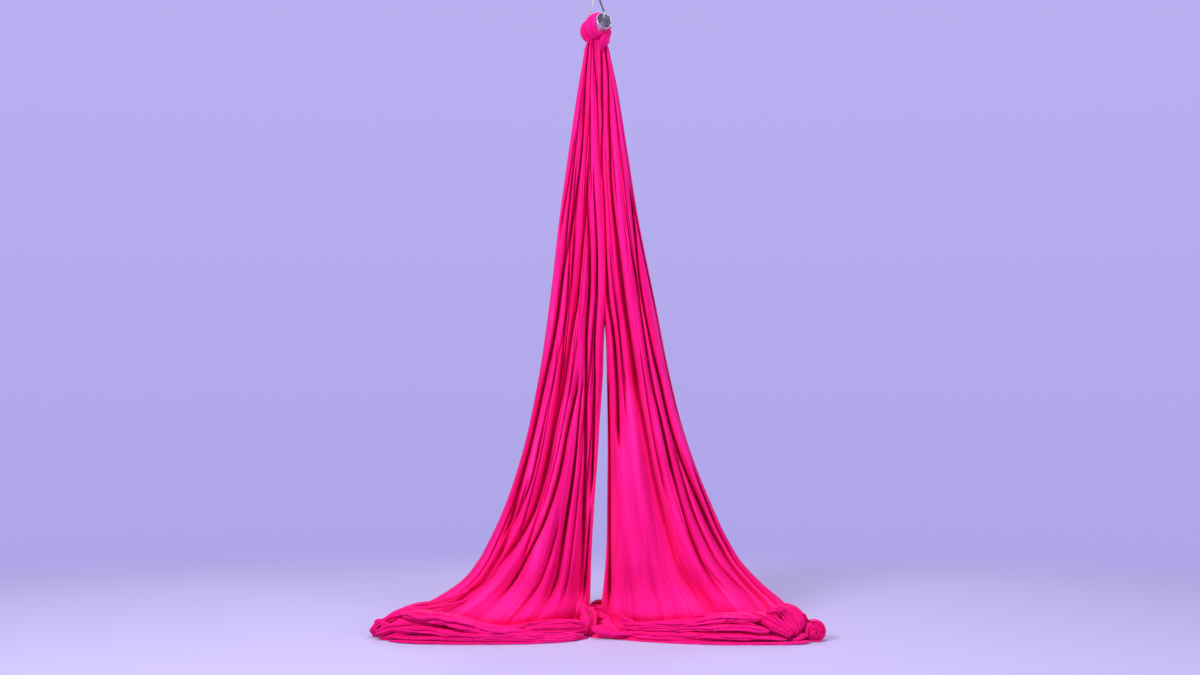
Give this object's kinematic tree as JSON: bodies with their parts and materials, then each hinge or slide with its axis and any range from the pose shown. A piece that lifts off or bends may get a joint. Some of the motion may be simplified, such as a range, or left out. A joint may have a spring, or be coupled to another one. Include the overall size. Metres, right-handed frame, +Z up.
{
  "type": "aerial silks",
  "caption": "Aerial silk hitched round a short steel tube on a wire rope sling, with a carabiner, a ball-bearing swivel and a ceiling plate; tails end on the floor.",
  "frame": {"origin": "middle of the ceiling plate's top face, which meets the ceiling", "axes": "+Z up, +X to the viewer's right along the spread of the two tails, -Y towards the viewer"},
  "size_m": [1.94, 0.69, 3.146],
  "materials": {
    "plate_paint": "satin white powder coat",
    "bright_steel": "bright zinc plated",
    "dark_steel": "blackened",
    "bronze": "machined bronze",
    "wire_steel": "galvanised strand",
    "silk": "satiny stretch tricot"
  },
  "bodies": {
    "ceiling_mount": {"ceiling_plate": "plate_paint", "swivel_housing": "plate_paint", "stem_bush": "bronze", "lower_race": "bright_steel", "housing_screw_1": "dark_steel", "housing_screw_2": "dark_steel", "housing_screw_3": "dark_steel", "housing_screw_4": "dark_steel"},
    "bearing": {"bearing_cage": "bronze", "bearing_ball_1": "bright_steel", "bearing_ball_2": "bright_steel", "bearing_ball_3": "bright_steel", "bearing_ball_4": "bright_steel", "bearing_ball_5": "bright_steel", "bearing_ball_6": "bright_steel", "bearing_ball_7": "bright_steel", "bearing_ball_8": "bright_steel"},
    "swivel": {"eye_stem": "dark_steel", "stem_washer": "bright_steel", "stem_nut": "bright_steel", "upper_race": "bright_steel"},
    "carabiner": {"carabiner_frame": "bright_steel", "gate_pin": "dark_steel"},
    "gate": {"carabiner_gate": "bright_steel", "gate_spring": "dark_steel"},
    "sleeve": {"lock_sleeve": "dark_steel"},
    "sling": {"thimble": "bright_steel", "wire_sling": "wire_steel", "eye_ferrule": "bright_steel", "joint_ferrule": "bright_steel"},
    "tube": {"hanging_tube": "bright_steel", "hitch_wrap": "silk", "hitch_bight": "silk"},
    "left_cloth": {"left_tail": "silk"},
    "left_heap": {"left_pool": "silk"},
    "right_cloth": {"right_tail": "silk"},
    "right_heap": {"right_pool": "silk"}
  },
  "joints": [
    {"name": "swivel_turn", "type": "hinge", "parent": "ceiling_mount", "child": "swivel", "pos_m": [0, 0, -0.05], "axis": [0, 0, 1], "continuous": true},
    {"name": "bearing_turn", "type": "hinge", "parent": "ceiling_mount", "child": "bearing", "pos_m": [0, 0, -0.0366], "axis": [0, 0, 1], "continuous": true},
    {"name": "carabiner_swing", "type": "hinge", "parent": "swivel", "child": "carabiner", "pos_m": [0, 0, -0.1086], "axis": [0.454, -0.891, 0], "range_deg": [-10, 10]},
    {"name": "gate_open", "type": "hinge", "parent": "carabiner", "child": "gate", "pos_m": [0.0196, 0.00999, -0.1663], "axis": [-0.454, 0.891, 0], "range_deg": [-25, 0], "stiffness_Nm_per_rad": 0.05, "springref_deg": 11.46},
    {"name": "sleeve_lock", "type": "slide", "parent": "gate", "child": "sleeve", "axis": [0, 0, 1], "range_m": [0, 0.0155]},
    {"name": "sling_swing", "type": "hinge", "parent": "carabiner", "child": "sling", "pos_m": [0, 0, -0.1928], "axis": [0.891, 0.454, 0], "range_deg": [-5, 5]},
    {"name": "tube_roll", "type": "hinge", "parent": "sling", "child": "tube", "pos_m": [0, 0, -0.468], "axis": [-0.4385, 0.8606, -0.2588], "range_deg": [-10, 10]},
    {"name": "left_tail_draw", "type": "hinge", "parent": "tube", "child": "left_cloth", "pos_m": [-0.036, 0, -0.50154], "axis": [0, 1, 0], "range_deg": [0, 8]},
    {"name": "left_pool_level", "type": "hinge", "parent": "left_cloth", "child": "left_heap", "pos_m": [-0.0222, 0, -3.071], "axis": [0, 1, 0], "range_deg": [-8, 0]},
    {"name": "right_tail_draw", "type": "hinge", "parent": "tube", "child": "right_cloth", "pos_m": [0.046, 0, -0.50154], "axis": [0, 1, 0], "range_deg": [-8, 0]},
    {"name": "right_pool_level", "type": "hinge", "parent": "right_cloth", "child": "right_heap", "pos_m": [0.0263, 0, -3.071], "axis": [0, 1, 0], "range_deg": [0, 8]}
  ],
  "couplings": [
    {"joint": "bearing_turn", "follows": "swivel_turn", "ratio": 0.5},
    {"joint": "left_pool_level", "follows": "left_tail_draw", "ratio": -1},
    {"joint": "right_pool_level", "follows": "right_tail_draw", "ratio": -1}
  ]
}
